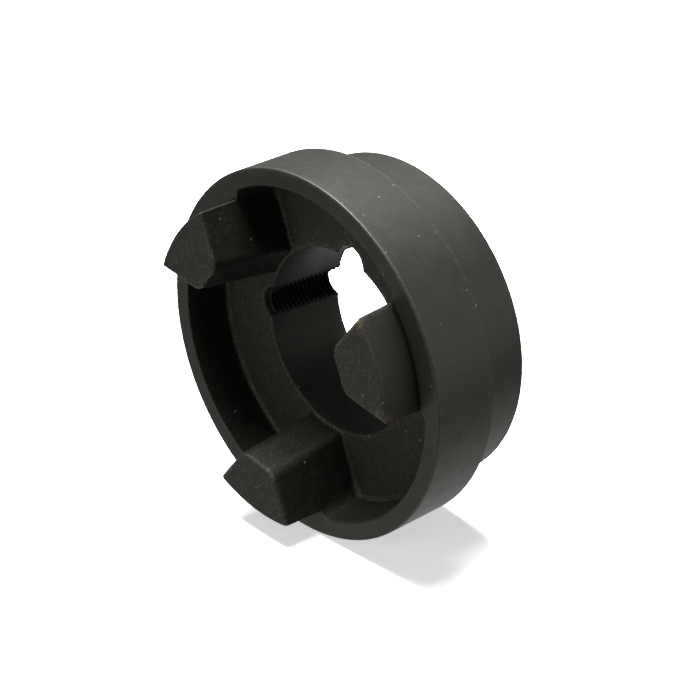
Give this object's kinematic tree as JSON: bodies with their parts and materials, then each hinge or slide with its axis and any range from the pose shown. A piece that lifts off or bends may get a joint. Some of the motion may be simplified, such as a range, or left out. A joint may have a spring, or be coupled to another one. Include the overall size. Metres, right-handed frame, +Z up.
{
  "type": "jaw coupling half",
  "caption": "Ring-shaped cast iron half of a flexible jaw coupling, with driving jaws inside a recessed rim, a taper bore for a clamping bush and screw half-holes in the bore wall.",
  "frame": {"origin": "on the shaft axis, half-way between the jaw tips and the hub's end face", "axes": "+Y along the shaft axis from the jaws towards the hub's end face, +Z up with the casting standing on its rim"},
  "size_m": [0.112, 0.0526, 0.112],
  "materials": {
    "cast_iron": "dark phosphated and oiled: satin on the turned faces, sand grain on the cast faces"
  },
  "bodies": {
    "root": {"half_coupling_casting": "cast_iron"}
  },
  "joints": []
}
